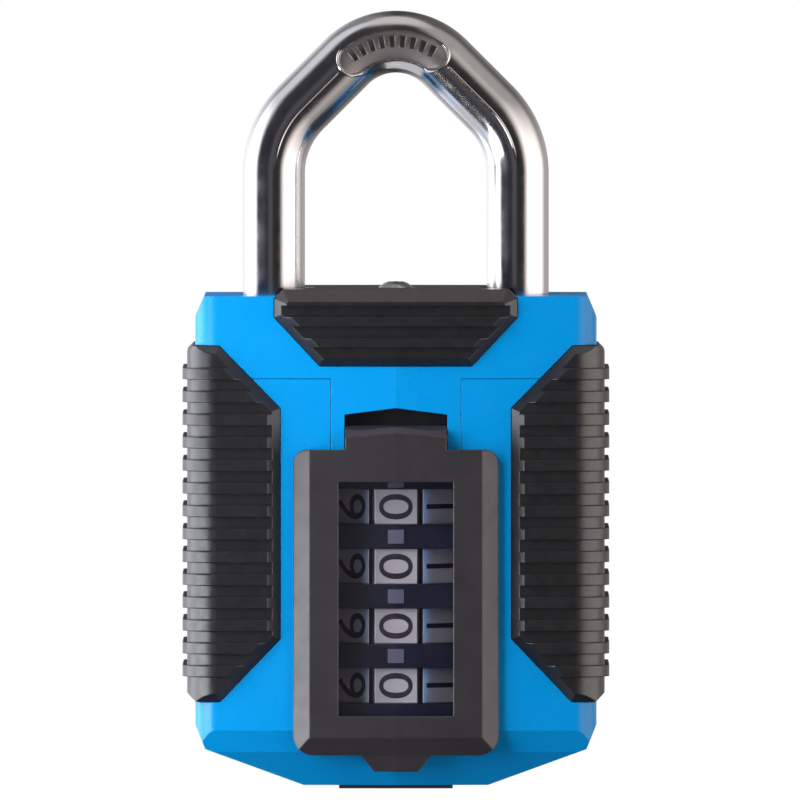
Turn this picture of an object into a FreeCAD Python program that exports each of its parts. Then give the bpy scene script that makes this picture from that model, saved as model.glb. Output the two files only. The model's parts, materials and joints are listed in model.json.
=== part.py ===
import FreeCAD
import Part
import math
import os

# Weatherproof combination padlock: a die-cast lock body in a two-part plastic jacket.
# Millimetres. +Z up along the shackle legs, +X to the right, the dials face -Y.
# The origin is the middle of the base plug's flat underside, in the plane of the shackle.

# Jacket, outside
JACKET_HALF_WIDTH = 25.9
JACKET_BOTTOM = 0.45
JACKET_TOP = 63.7
FRONT_RIDGE_Y = -13.5
BACK_RIDGE_Y = 14.0
FRONT_SLOPE = math.tan(math.radians(4.0))
BACK_SLOPE = math.tan(math.radians(2.4))
JACKET_CORNER_R = 3.0
JACKET_OUTLINE = [
    (11.9, JACKET_BOTTOM),
    (24.6, 5.2),
    (JACKET_HALF_WIDTH, 8.4),
    (JACKET_HALF_WIDTH, 60.9),
    (24.7, JACKET_TOP),
]
FACET_TOP_Z = 7.65
FACET_CREASE_Z = 4.85
FACET_CREASE_IN = 1.3
FACET_FOOT_IN = 5.3

# Jacket, inside, and how it splits
CAVITY_OUTLINE = [(11.5, 2.6), (22.6, 6.9), (23.6, 9.0), (23.6, 61.7)]
CAVITY_FRONT_Y = -10.0
CAVITY_BACK_Y = 11.2
CAVITY_TOP = 61.7
CAVITY_FLOOR = 2.6
CAVITY_CHAMFER = 3.8
BODY_CLEARANCE = 0.2
SEAM_Z = 53.05
SEAM_GAP = 0.06
TAB_HALF_WIDTH = 8.4
TAB_BOTTOM = 42.13
DIAL_OPENING_HALF_WIDTH = 9.0
DIAL_OPENING_Z = (9.2, 40.2)

# Rubber bumpers
SIDE_BUMPER_OUTLINE = [
    (22.7, 11.35),
    (25.8, 11.35),
    (29.8, 15.35),
    (29.8, 53.7),
    (26.2, 57.3),
    (22.8, 57.3),
    (14.9, 49.25),
    (14.9, 19.5),
]
TOP_BUMPER_OUTLINE = [(-6.0, 54.7), (9.8, 54.7), (15.7, 61.0), (15.7, 63.4), (14.5, 64.6), (-6.0, 64.6)]
BUMPER_DEPTH = 0.6
BUMPER_FIT = 0.06
BUMPER_BEVEL = 2.2
SIDE_BUMPER_HEIGHT = 1.05
SIDE_RIB_HEIGHT = 1.65
SIDE_RIB_COUNT = 14
SIDE_RIB_PITCH = 2.95
SIDE_RIB_WIDTH = 1.45
SIDE_RIB_TOP = 54.4
TOP_BUMPER_HEIGHT = 0.9
TOP_BUMPER_TOP = 64.6
TOP_RIDGE_HEIGHT = 1.6
TOP_RIDGES = [(62.5, TOP_BUMPER_TOP), (59.85, 61.05), (57.15, 58.3), (54.7, 55.75)]

# Shackle
SHACKLE_R = 4.0
LEG_X = 15.77
BEND_R = 12.0
BOW_R = 9.0
BEND_START_Z = 79.36
HEEL_BOTTOM = 24.0
TOE_BOTTOM = 53.5
# The bow's circle is tangent to the straight shoulders, which leave the bends at 45 degrees.
BOW_CENTRE_Z = BEND_START_Z + 2 * BEND_R * math.sin(math.radians(45)) - BEND_R
BOW_CENTRE_Z += LEG_X - BOW_R * (2 * math.sin(math.radians(45)))
SEAL_LIP_R = 4.06
SEAL_R = 4.85
SEAL_Z = (61.75, 63.05)

# Dial stack
STACK_Y = -0.6
DIAL_Z = [36.5, 28.8, 21.1, 13.4]
DIAL_HEIGHT = 4.5
DIAL_POSITIONS = 10
PAD_APOTHEM = 9.6
PAD_HALF_WIDTH = 2.7
GROOVE_APOTHEM = 8.9
SLEEVE_R = 5.1
SLEEVE_BORE_R = 3.6
SLEEVE_HALF_HEIGHT = 3.8
FLANGE_THICKNESS = 1.6
RUNNING_FIT = 0.1
KEY_WIDTH = 1.2
KEY_R = 6.0
SPINDLE_R = 2.0
SPINDLE_Z = (6.0, 45.0)
FIN_R = 3.4
FIN_WIDTH = 1.4
FIN_HEIGHT = 1.6
FIN_BELOW_FLANGE = 0.4
NECK_Z = (42.25, 44.15)
HEEL_NECK_R = 2.6
SPINDLE_NECK_R = 1.25

# Lock body
SLOT_R = 10.25
SLOT_HALF_HEIGHT = 2.45
BORE_R = 4.1
POCKET_X = (-20.5, 3.9)
POCKET_Y = -4.9
POCKET_Z = (41.0, 57.8)
PLATE_Y = (9.75, 10.9)
PLATE_Z = (8.0, 59.5)
RIVET_X = 21.9
RIVET_Z = [10.2, 33.0, 57.3]
RIVET_R = 0.8
TOP_SCREW_R = 1.5
BOTTOM_SCREW_R = 1.25
BOTTOM_SCREW_Y = 5.8

# Flip-up cover
COVER_HALF_WIDTH = 13.25
COVER_RIDGE_Y = -15.7
COVER_BACK_Y = -13.6
COVER_Z = (4.5, 43.95)
COVER_BEVEL_WIDTH = 2.1
COVER_BEVEL_DEPTH = 1.5
COVER_BEND_Z = 6.8
TONGUE_HALF_WIDTH = 6.54
TONGUE_Z = (46.3, 46.95)
TONGUE_CHAMFER = 0.8
SLOT_HALF_WIDTH = 6.64
SLOT_TOP_Z = (48.45, 49.3)
HINGE_Y = -12.0
HINGE_Z = 45.15
HINGE_PIN_R = 0.6
KNUCKLE_R = 1.9
WINDOW_HALF_WIDTH = 7.4
WINDOW_Z = (9.6, 39.8)
LENS_RIDGE_Y = -15.45
LENS_FLANGE_Y = -14.6
LENS_BACK_Y = -13.9
LENS_FLANGE = 0.8

REACH = 40.0


def vec(x, y, z):
    return FreeCAD.Vector(x, y, z)


def face(points):
    return Part.Face(Part.makePolygon(points + points[:1]))


def box(x_range, y_range, z_range):
    size = [high - low for low, high in (x_range, y_range, z_range)]
    return Part.makeBox(*size, vec(x_range[0], y_range[0], z_range[0]))


def centred_box(half_width, y_range, z_range):
    return box((-half_width, half_width), y_range, z_range)


def post(radius, z_range, x=0.0, y=0.0):
    """Upright cylinder."""
    return Part.makeCylinder(radius, z_range[1] - z_range[0], vec(x, y, z_range[0]))


def axle(radius, half_length, y, z):
    """Cylinder along X, centred on x = 0."""
    return Part.makeCylinder(radius, 2 * half_length, vec(-half_length, y, z), vec(1, 0, 0))


def along_y(outline, y_range):
    """Prism of an XZ outline."""
    start, end = y_range
    return face([vec(x, start, z) for x, z in outline]).extrude(vec(0, end - start, 0))


def along_x(outline, half_width):
    """Prism of a YZ outline, centred on x = 0."""
    return face([vec(-half_width, y, z) for y, z in outline]).extrude(vec(2 * half_width, 0, 0))


def along_z(outline, z_range):
    """Prism of an XY outline."""
    start, end = z_range
    return face([vec(x, y, start) for x, y in outline]).extrude(vec(0, 0, end - start))


def creased(outline, width, slope, rise=0.0):
    """YZ outline at x = 0 run out to both sides along a sloping face, so that it is creased at x = 0."""
    half = face([vec(0, y, z) for y, z in outline]).extrude(vec(width, width * slope, width * rise))
    return half.fuse(mirror_x(half)).removeSplitter()


def mirror_x(shape):
    return shape.mirror(vec(0, 0, 0), vec(1, 0, 0))


def both_sides(right_half):
    """Closed outline from the points of its right half, listed upwards."""
    return right_half + [(-x, z) for x, z in reversed(right_half)]


def inset(outline, distance):
    """Convex counter-clockwise outline with each side moved inwards."""
    sides = []
    for (x0, z0), (x1, z1) in zip(outline, outline[1:] + outline[:1]):
        length = math.hypot(x1 - x0, z1 - z0)
        across, up = (z0 - z1) / length, (x1 - x0) / length
        sides.append((across, up, across * x0 + up * z0 + distance))
    corners = []
    for (a, b, c), (d, e, f) in zip(sides[-1:] + sides[:-1], sides):
        span = a * e - b * d
        corners.append(((c * e - f * b) / span, (a * f - d * c) / span))
    return corners


def save(name, shape):
    shape = shape.removeSplitter()
    solids = shape.Solids
    if not shape.isValid() or not solids:
        raise ValueError(name + " is not a valid solid")
    result = solids[0] if len(solids) == 1 else Part.makeCompound(solids)
    result.exportStep("parts/" + name + ".step")


# Jacket

def skin(offset, z_range):
    """Upright prism of the jacket's plan, creased front and back, grown by offset."""
    half = JACKET_HALF_WIDTH + offset
    front = FRONT_RIDGE_Y - offset
    back = BACK_RIDGE_Y + offset
    plan = [
        (-half, front + half * FRONT_SLOPE),
        (0, front),
        (half, front + half * FRONT_SLOPE),
        (half, back - half * BACK_SLOPE),
        (0, back),
        (-half, back - half * BACK_SLOPE),
    ]
    prism = along_z(plan, z_range)
    corners = [edge for edge in prism.Edges if is_upright_corner(edge, half)]
    return prism.makeFillet(JACKET_CORNER_R + offset, corners)


def is_upright_corner(edge, half_width):
    low, high = edge.BoundBox.XMin, edge.BoundBox.XMax
    return edge.BoundBox.ZLength > 0.1 and high - low < 0.1 and abs(abs(high) - half_width) < 0.1


def facet_cutter(ridge_y, slope, inward):
    """What the two lower facets take off one face; inward is +1 at the front and -1 at the back."""
    outside = ridge_y - inward * 5
    outline = [
        (outside, FACET_TOP_Z),
        (ridge_y, FACET_TOP_Z),
        (ridge_y + inward * FACET_CREASE_IN, FACET_CREASE_Z),
        (ridge_y + inward * FACET_FOOT_IN, JACKET_BOTTOM),
        (outside, JACKET_BOTTOM - 1),
    ]
    return creased(outline, REACH, inward * slope)


def jacket_blank():
    blank = skin(0, (JACKET_BOTTOM, JACKET_TOP)).common(along_y(both_sides(JACKET_OUTLINE), (-REACH, REACH)))
    front = facet_cutter(FRONT_RIDGE_Y, FRONT_SLOPE, 1)
    back = facet_cutter(BACK_RIDGE_Y, BACK_SLOPE, -1)
    return blank.cut([front, back])


def core(clearance):
    """The jacket's cavity, or with a clearance the outside of the lock body in it."""
    front_view = inset(both_sides(CAVITY_OUTLINE), clearance)
    side_view = inset([
        (CAVITY_FRONT_Y + CAVITY_CHAMFER, CAVITY_FLOOR),
        (CAVITY_BACK_Y - CAVITY_CHAMFER, CAVITY_FLOOR),
        (CAVITY_BACK_Y, CAVITY_FLOOR + CAVITY_CHAMFER),
        (CAVITY_BACK_Y, CAVITY_TOP),
        (CAVITY_FRONT_Y, CAVITY_TOP),
        (CAVITY_FRONT_Y, CAVITY_FLOOR + CAVITY_CHAMFER),
    ], clearance)
    return along_y(front_view, (-REACH, REACH)).common(along_x(side_view, REACH))


def shackle_legs(radius, z_range):
    return post(radius, z_range, -LEG_X).fuse(post(radius, z_range, LEG_X))


def hinge_slot():
    """Slot in the jacket's tab for the cover's tongue, with a chevron top."""
    low, high = SLOT_TOP_Z
    outline = [
        (-SLOT_HALF_WIDTH, TAB_BOTTOM - 1),
        (SLOT_HALF_WIDTH, TAB_BOTTOM - 1),
        (SLOT_HALF_WIDTH, low),
        (0, high),
        (-SLOT_HALF_WIDTH, low),
    ]
    return along_y(outline, (-REACH, CAVITY_FRONT_Y + 0.1))


def gasket_ring(offset, fit):
    """Frame round the dial opening, lying in the jacket's front face."""
    outer = centred_box(10.6 + fit, (-REACH, 0), (7.6 - fit, 41.8 + fit))
    inner = centred_box(9.6 - fit, (-REACH, 0), (8.6 + fit, 40.8 - fit))
    band = skin(offset, (0, 50)).cut(skin(-0.8, (0, 50)))
    return band.common(outer.cut(inner))


def jacket():
    """The whole jacket before it is split."""
    shell = jacket_blank().cut(core(0))
    recesses = [side_bumper_recess(), mirror_x(side_bumper_recess()), top_bumper_recess()]
    lips = shackle_legs(SHACKLE_R + 0.2, (60, 70))
    seats = shackle_legs(SEAL_R + 0.05, (60, 63.1))
    screw_holes = [
        post(TOP_SCREW_R + 0.1, (60, 70)),
        post(BOTTOM_SCREW_R + 0.15, (0, 3), y=BOTTOM_SCREW_Y),
        post(2.4, (0, 1.9), y=BOTTOM_SCREW_Y),
    ]
    dial_opening = centred_box(DIAL_OPENING_HALF_WIDTH, (-REACH, -9.0), DIAL_OPENING_Z)
    plug_hole = centred_box(5.05, (-6.45, 2.45), (0, 3))
    groove = gasket_ring(1, 0.05)
    return shell.cut(recesses + [lips, seats, dial_opening, plug_hole, groove] + screw_holes)


def above_seam(grow):
    """What lies above the jacket's seam, with the tab that reaches down the front."""
    above = centred_box(REACH, (-REACH, REACH), (SEAM_Z - grow, 80))
    tab = centred_box(TAB_HALF_WIDTH + grow, (-REACH, -5), (TAB_BOTTOM - grow, 80))
    return above.fuse(tab)


def upper_jacket(whole):
    kept = whole.common(above_seam(-SEAM_GAP / 2))
    return kept.cut([hinge_slot(), axle(HINGE_PIN_R + 0.01, TAB_HALF_WIDTH, HINGE_Y, HINGE_Z)])


def lower_jacket(whole):
    return whole.cut(above_seam(SEAM_GAP / 2))


# Bumpers

def on_front(x, z, out):
    return vec(x, FRONT_RIDGE_Y + x * FRONT_SLOPE - out, z)


def on_back(x, z, out):
    return vec(x, BACK_RIDGE_Y - x * BACK_SLOPE + out, z)


def bumper_envelope(outline):
    """Outline run through the jacket, bevelled at 45 degrees outside the front and back faces."""
    small = inset(outline, BUMPER_BEVEL)
    sections = [
        [on_front(x, z, BUMPER_BEVEL) for x, z in small],
        [on_front(x, z, 0) for x, z in outline],
        [on_back(x, z, 0) for x, z in outline],
        [on_back(x, z, BUMPER_BEVEL) for x, z in small],
    ]
    return Part.makeLoft([Part.makePolygon(points + points[:1]) for points in sections], True, True)


def top_envelope(outline):
    right = bumper_envelope(outline).common(box((0, REACH), (-REACH, REACH), (0, 80)))
    return right.fuse(mirror_x(right))


def side_bumper_recess():
    outline = inset(SIDE_BUMPER_OUTLINE, -BUMPER_FIT)
    return bumper_envelope(outline).cut(skin(-BUMPER_DEPTH, (0, 70)))


def top_bumper_recess():
    outline = inset(TOP_BUMPER_OUTLINE, -BUMPER_FIT)
    left_standing = [skin(-BUMPER_DEPTH, (0, JACKET_TOP - BUMPER_DEPTH)), shackle_legs(5.2, (50, 70))]
    return top_envelope(outline).cut(left_standing)


def side_bumper():
    """Right-hand bumper: a sheet wrapped round the jacket's side, with level ribs."""
    layers = []
    for index in range(SIDE_RIB_COUNT):
        top = SIDE_RIB_TOP - index * SIDE_RIB_PITCH
        layers.append(skin(SIDE_RIB_HEIGHT, (top - SIDE_RIB_WIDTH, top)))
    sheet = skin(SIDE_BUMPER_HEIGHT, (10, 58)).fuse(layers)
    wrapped = sheet.common(bumper_envelope(SIDE_BUMPER_OUTLINE))
    return wrapped.cut(skin(-BUMPER_DEPTH, (0, 70)))


def top_bumper():
    """Saddle over the jacket's top, between the shackle's legs."""
    ridges = [skin(TOP_RIDGE_HEIGHT, z_range) for z_range in TOP_RIDGES]
    sheet = skin(TOP_BUMPER_HEIGHT, (54, TOP_BUMPER_TOP)).fuse(ridges)
    saddle = sheet.common(top_envelope(TOP_BUMPER_OUTLINE))
    return saddle.cut([
        skin(-BUMPER_DEPTH, (0, JACKET_TOP - BUMPER_DEPTH)),
        shackle_legs(5.3, (50, 70)),
        post(TOP_SCREW_R + 0.1, (60, 70)),
        post(2.7, (64.0, 70)),
    ])


# Fixings and seals

def domed_screw():
    """Button-head screw through the top bumper and jacket into the lock body."""
    rim, head_z, crown = 2.45, 64.0, 65.45
    arc = Part.Arc(vec(rim, 0, head_z + 0.4), vec(rim * 0.62, 0, crown - 0.32), vec(0, 0, crown))
    lines = [
        Part.makeLine(vec(0, 0, crown), vec(0, 0, head_z)),
        Part.makeLine(vec(0, 0, head_z), vec(rim, 0, head_z)),
        Part.makeLine(vec(rim, 0, head_z), vec(rim, 0, head_z + 0.4)),
    ]
    profile = Part.Face(Part.Wire(lines + [arc.toShape()]))
    head = profile.revolve(vec(0, 0, 0), vec(0, 0, 1), 360)
    socket = along_z(regular_polygon(6, 1.05), (crown - 0.8, crown + 1))
    shank = post(TOP_SCREW_R, (POCKET_Z[1] + 0.2, head_z + 0.1))
    return head.fuse(shank).cut(socket)


def regular_polygon(count, radius):
    angles = [2 * math.pi * index / count for index in range(count)]
    return [(radius * math.cos(angle), radius * math.sin(angle)) for angle in angles]


def bottom_screw():
    head = post(2.3, (0.6, 1.9), y=BOTTOM_SCREW_Y)
    shank = post(BOTTOM_SCREW_R, (1.8, 8.0), y=BOTTOM_SCREW_Y)
    slot = centred_box(2.5, (BOTTOM_SCREW_Y - 0.3, BOTTOM_SCREW_Y + 0.3), (0.5, 1.1))
    return head.fuse(shank).cut(slot)


def base_plug():
    pad = centred_box(7.35, (-7.2, 8.2), (0, JACKET_BOTTOM))
    stem = centred_box(5.0, (-6.4, 2.4), (JACKET_BOTTOM - 0.1, CAVITY_FLOOR))
    return pad.fuse(stem)


def shackle_seal(x):
    return post(SEAL_R, SEAL_Z, x).cut(post(SEAL_LIP_R, SEAL_Z, x))


def coil(radius, wire_radius, pitch, z_range):
    """Helical spring about the Z axis between two heights."""
    low, high = z_range[0] + wire_radius, z_range[1] - wire_radius
    helix = Part.makeLongHelix(pitch, high - low, radius)
    section = Part.Wire(Part.makeCircle(wire_radius, vec(radius, 0, 0), vec(0, 1, 0)))
    spring = Part.Wire(helix.Edges).makePipeShell([section], True, True)
    spring.translate(vec(0, 0, low))
    return spring


def shackle_spring():
    spring = coil(3.2, 0.45, 2.3, (10.0, HEEL_BOTTOM))
    spring.translate(vec(-LEG_X, 0, 0))
    return spring


def reset_spring():
    spring = coil(3.3, 0.4, 1.3, (5.6, 9.0))
    spring.translate(vec(0, STACK_Y, 0))
    return spring


def sleeve_washer():
    z_range = (9.05, 9.55)
    return post(5.0, z_range, y=STACK_Y).cut(post(2.3, z_range, y=STACK_Y))


# Lock body

def dial_slot(z):
    """Slot for one dial: round at the front, open at the back, with a window through the front face."""
    z_range = (z - SLOT_HALF_HEIGHT, z + SLOT_HALF_HEIGHT)
    round_end = post(SLOT_R, z_range, y=STACK_Y)
    open_end = centred_box(SLOT_R, (STACK_Y, REACH), z_range)
    window = centred_box(8.2, (-REACH, -6.6), z_range)
    return round_end.fuse([open_end, window])


def rivet_places():
    return [(x, z) for x in (-RIVET_X, RIVET_X) for z in RIVET_Z]


def lock_body():
    stack_bores = [
        post(SLEEVE_R + RUNNING_FIT, (8.8, 40.5), y=STACK_Y),
        post(SLEEVE_BORE_R, (40.2, POCKET_Z[0] + 0.5), y=STACK_Y),
        post(4.2, (5.6, 9.2), y=STACK_Y),
    ]
    shackle_bores = [post(BORE_R, (10.0, 70), -LEG_X), post(BORE_R, (TOE_BOTTOM - 0.2, 70), LEG_X)]
    pocket = box(POCKET_X, (POCKET_Y, REACH), POCKET_Z)
    rebate = centred_box(REACH, (PLATE_Y[0], REACH), (PLATE_Z[0] - 0.1, PLATE_Z[1] + 0.1))
    click_pocket = box((10.0, 12.9), (-2.4, REACH), (8.6, 40.8))
    screw_holes = [
        post(TOP_SCREW_R, (POCKET_Z[1] - 0.5, 70)),
        post(BOTTOM_SCREW_R, (0, 8.2), y=BOTTOM_SCREW_Y),
    ]
    rivet_holes = [rivet(x, z, RIVET_R, 5.5) for x, z in rivet_places()]
    hollows = [dial_slot(z) for z in DIAL_Z] + [pocket, rebate, click_pocket]
    return core(BODY_CLEARANCE).cut(hollows + stack_bores + shackle_bores + screw_holes + rivet_holes)


def rivet(x, z, radius, start_y):
    return Part.makeCylinder(radius, PLATE_Y[1] - start_y, vec(x, start_y, z), vec(0, 1, 0))


def back_plate():
    plate = centred_box(REACH, PLATE_Y, PLATE_Z).common(core(BODY_CLEARANCE))
    return plate.cut([rivet(x, z, RIVET_R, 5.5) for x, z in rivet_places()])


def back_plate_rivets():
    return Part.makeCompound([rivet(x, z, RIVET_R, 5.6) for x, z in rivet_places()])


def dial_frame():
    """Black bezel in front of the dials, with one window for each."""
    plate = centred_box(8.8, (-10.95, -9.85), (9.4, 40.0))
    windows = [centred_box(8.0, (-12, -9), (z - 2.3, z + 2.3)) for z in DIAL_Z]
    return plate.cut(windows)


def index_marks():
    """Raised marks on the bezel's bars in line with the code, and half a mark above the top dial."""
    y_range = (-11.1, -10.95)
    between = [(upper + lower) / 2 for upper, lower in zip(DIAL_Z, DIAL_Z[1:])]
    marks = [centred_box(1.0, y_range, (z - 0.9, z + 0.9)) for z in between]
    marks.append(centred_box(1.0, y_range, (DIAL_Z[0] + 2.5, DIAL_Z[0] + 3.4)))
    return Part.makeCompound(marks)


def click_spring():
    """Leaf with one finger for each dial, its tips just clear of the dials' pad corners."""
    spine = box((12.5, 12.8), (2.0, 9.4), (9.2, 40.4))
    finger = [
        (12.8, 3.0),
        (12.5, 3.0),
        (12.2, 1.6),
        (10.1, -0.3),
        (10.1, -0.9),
        (11.3, -2.1),
        (11.5, -1.9),
        (10.4, -0.6),
        (12.5, 1.4),
        (12.8, 2.2),
    ]
    fingers = [along_z(finger, (z - 1.3, z + 1.3)) for z in DIAL_Z]
    return spine.fuse(fingers)


# Dials

def turned(x, y, angle):
    """Point of a dial's plan turned about the stack's axis."""
    return (
        x * math.cos(angle) - y * math.sin(angle),
        STACK_Y + x * math.sin(angle) + y * math.cos(angle),
    )


def dial_ring(z):
    """Wheel with ten flat pads parted by grooves, and ten key notches in its bore."""
    pad = [
        (-PAD_HALF_WIDTH, -GROOVE_APOTHEM),
        (-PAD_HALF_WIDTH, -PAD_APOTHEM),
        (PAD_HALF_WIDTH, -PAD_APOTHEM),
        (PAD_HALF_WIDTH, -GROOVE_APOTHEM),
    ]
    steps = [2 * math.pi * index / DIAL_POSITIONS for index in range(DIAL_POSITIONS)]
    outline = [turned(x, y, step) for step in steps for x, y in pad]
    z_range = (z - DIAL_HEIGHT / 2, z + DIAL_HEIGHT / 2)
    bore = post(SLEEVE_R + RUNNING_FIT, z_range, y=STACK_Y)
    half_notch = KEY_WIDTH / 2 + 0.05
    notch = [(-half_notch, 4), (half_notch, 4), (half_notch, KEY_R + 0.1), (-half_notch, KEY_R + 0.1)]
    notches = [along_z([turned(x, y, step) for x, y in notch], z_range) for step in steps]
    return along_z(outline, z_range).cut([bore] + notches)


def code_sleeve(z):
    """Hub keyed to the dial, with an inner flange that only a fin in its gate can pass."""
    z_range = (z - SLEEVE_HALF_HEIGHT, z + SLEEVE_HALF_HEIGHT)
    flange_z = (z - FLANGE_THICKNESS / 2, z + FLANGE_THICKNESS / 2)
    hub = post(SLEEVE_R, z_range, y=STACK_Y)
    key = centred_box(KEY_WIDTH / 2, (STACK_Y + 4.5, STACK_Y + KEY_R), (z - 1.9, z + 1.9))
    bore = post(SLEEVE_BORE_R, z_range, y=STACK_Y)
    flange = post(SLEEVE_BORE_R + 0.2, flange_z, y=STACK_Y).cut([
        post(SPINDLE_R + RUNNING_FIT, z_range, y=STACK_Y),
        centred_box(FIN_WIDTH / 2 + 0.15, (STACK_Y, STACK_Y + SLEEVE_BORE_R), z_range),
    ])
    return hub.fuse(key).cut(bore).fuse(flange)


# Shackle and what lifts with it

def point_on_bend(centre_x, centre_z, radius, degrees):
    angle = math.radians(degrees)
    return vec(centre_x + radius * math.cos(angle), 0, centre_z + radius * math.sin(angle))


def shackle_path():
    """Centre line: two legs, a 45 degree bend in each, straight shoulders and a round bow."""
    inner = LEG_X - BEND_R
    left = [point_on_bend(-inner, BEND_START_Z, BEND_R, degrees) for degrees in (180, 157.5, 135)]
    bow = [point_on_bend(0, BOW_CENTRE_Z, BOW_R, degrees) for degrees in (135, 90, 45)]
    right = [point_on_bend(inner, BEND_START_Z, BEND_R, degrees) for degrees in (45, 22.5, 0)]
    edges = [
        Part.makeLine(vec(-LEG_X, 0, HEEL_BOTTOM), left[0]),
        Part.Arc(*left).toShape(),
        Part.makeLine(left[2], bow[0]),
        Part.Arc(*bow).toShape(),
        Part.makeLine(bow[2], right[0]),
        Part.Arc(*right).toShape(),
        Part.makeLine(right[2], vec(LEG_X, 0, TOE_BOTTOM)),
    ]
    return Part.Wire(edges)


def bow_sector(half_width, half_degrees, y_range):
    """Band along the bow with round ends, seen from the front."""
    length = y_range[1] - y_range[0]
    centre = vec(0, y_range[0], BOW_CENTRE_Z)
    ring = Part.makeCylinder(BOW_R + half_width, length, centre, vec(0, 1, 0))
    ring = ring.cut(Part.makeCylinder(BOW_R - half_width, length, centre, vec(0, 1, 0)))
    ends = [point_on_bend(0, BOW_CENTRE_Z, BOW_R, 90 + side * half_degrees) for side in (-1, 1)]
    far = [point_on_bend(0, BOW_CENTRE_Z, REACH, 90 + side * half_degrees) for side in (-1, 1)]
    wedge = along_y([(0, BOW_CENTRE_Z)] + [(point.x, point.z) for point in far], y_range)
    feet = [vec(end.x, y_range[0], end.z) for end in ends]
    caps = [Part.makeCylinder(half_width, length, foot, vec(0, 1, 0)) for foot in feet]
    return ring.common(wedge).fuse(caps)


def cartouche():
    """Sunk panel on the front of the bow with a row of plain raised bars."""
    y_range = (-SHACKLE_R - 1, -SHACKLE_R / 2)
    panel = bow_sector(2.1, 36.0, y_range)
    bars = []
    for index in range(9):
        bar = box((-0.35, 0.35), y_range, (BOW_CENTRE_Z + BOW_R - 1.3, BOW_CENTRE_Z + BOW_R + 1.3))
        bar.rotate(vec(0, 0, BOW_CENTRE_Z), vec(0, 1, 0), (index - 4) * 9.0)
        bars.append(bar)
    floor = Part.makeTorus(BOW_R, SHACKLE_R - 0.4, vec(0, 0, BOW_CENTRE_Z), vec(0, 1, 0))
    return panel.cut(bars + [floor])


def leg_neck(x, y, radius, neck_radius):
    """Ring to cut away so that a leg or the spindle has a neck."""
    return post(radius + 1, NECK_Z, x, y).cut(post(neck_radius, NECK_Z, x, y))


def shackle():
    section = Part.Wire(Part.makeCircle(SHACKLE_R, vec(-LEG_X, 0, HEEL_BOTTOM), vec(0, 0, 1)))
    bar = shackle_path().makePipeShell([section], True, True)
    tips = [edge for edge in bar.Edges if edge.BoundBox.ZLength < 0.01]
    bar = bar.makeChamfer(0.6, tips)
    return bar.cut([cartouche(), leg_neck(-LEG_X, 0, SHACKLE_R, HEEL_NECK_R)])


def spindle():
    """Rod through the sleeves with one fin below each sleeve's flange."""
    rod = post(SPINDLE_R, SPINDLE_Z, y=STACK_Y)
    fins = []
    for z in DIAL_Z:
        top = z - FLANGE_THICKNESS / 2 - FIN_BELOW_FLANGE
        fins.append(centred_box(FIN_WIDTH / 2, (STACK_Y, STACK_Y + FIN_R), (top - FIN_HEIGHT, top)))
    return rod.fuse(fins).cut(leg_neck(0, STACK_Y, SPINDLE_R, SPINDLE_NECK_R))


def crosshead():
    """Plate whose two forks hold the spindle's neck and the heel's neck, so that they rise together."""
    z_range = (NECK_Z[0] + 0.05, NECK_Z[1] - 0.05)
    plate = post(4.3, z_range, -LEG_X).fuse([
        post(3.4, z_range, y=STACK_Y),
        box((-LEG_X, 0), (-3.0, 3.4), z_range),
    ])
    forks = []
    for x, y, radius in ((-LEG_X, 0, HEEL_NECK_R + 0.05), (0, STACK_Y, SPINDLE_NECK_R + 0.05)):
        forks.append(post(radius, z_range, x, y))
        forks.append(box((x - radius, x + radius), (-6, y), z_range))
    return plate.cut(forks)


# Cover

def cover_outline():
    """Front view of the cover: pull tab, body and hinge tongue."""
    low, high = COVER_Z
    half = [
        (2.8, 2.4),
        (4.55, low),
        (COVER_HALF_WIDTH, low),
        (COVER_HALF_WIDTH, high),
        (TONGUE_HALF_WIDTH, high),
        (TONGUE_HALF_WIDTH, TONGUE_Z[0]),
        (0, TONGUE_Z[1]),
    ]
    return half + [(-x, z) for x, z in reversed(half[:-1])]


def cover_front_view():
    """Prism of the front view with its four outer corners rounded."""
    prism = along_y(cover_outline(), (-REACH, -HINGE_PIN_R))
    low = [edge for edge in prism.Edges if is_cover_corner(edge, COVER_Z[0])]
    high = [edge for edge in prism.Edges if is_cover_corner(edge, COVER_Z[1])]
    return prism.makeFillet(2.6, low).makeFillet(1.8, high)


def is_cover_corner(edge, z):
    middle = edge.CenterOfMass
    at_corner = abs(abs(middle.x) - COVER_HALF_WIDTH) < 0.1 and abs(middle.z - z) < 0.1
    return at_corner and edge.BoundBox.YLength > 1


def cover_side_bevel():
    """Wedge that bevels the cover's right edge."""
    start = COVER_HALF_WIDTH - COVER_BEVEL_WIDTH
    front = COVER_RIDGE_Y + start * FRONT_SLOPE
    steep = COVER_BEVEL_DEPTH / COVER_BEVEL_WIDTH
    outline = [(start, front), (start, -REACH), (start + 5, -REACH), (start + 5, front + 5 * steep)]
    return along_z(outline, (0, 60))


def tongue_chamfer():
    """Wedge along the tongue's top front edges, so that it clears the slot as the cover turns."""
    drop = (TONGUE_Z[0] - TONGUE_Z[1]) / TONGUE_HALF_WIDTH
    edge_y, edge_z, over = COVER_RIDGE_Y, TONGUE_Z[1], 0.2
    outline = [
        (edge_y + TONGUE_CHAMFER + over, edge_z + over),
        (edge_y - over, edge_z + over),
        (edge_y - over, edge_z - TONGUE_CHAMFER - over),
    ]
    return creased(outline, TONGUE_HALF_WIDTH + 0.5, FRONT_SLOPE, drop)


def window_plate(half_width, z_range, front_y, back_y):
    """Creased plate behind or in the cover's window."""
    outline = [(front_y, z_range[0]), (front_y, z_range[1]), (back_y, z_range[1]), (back_y, z_range[0])]
    return creased(outline, half_width, FRONT_SLOPE)


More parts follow.
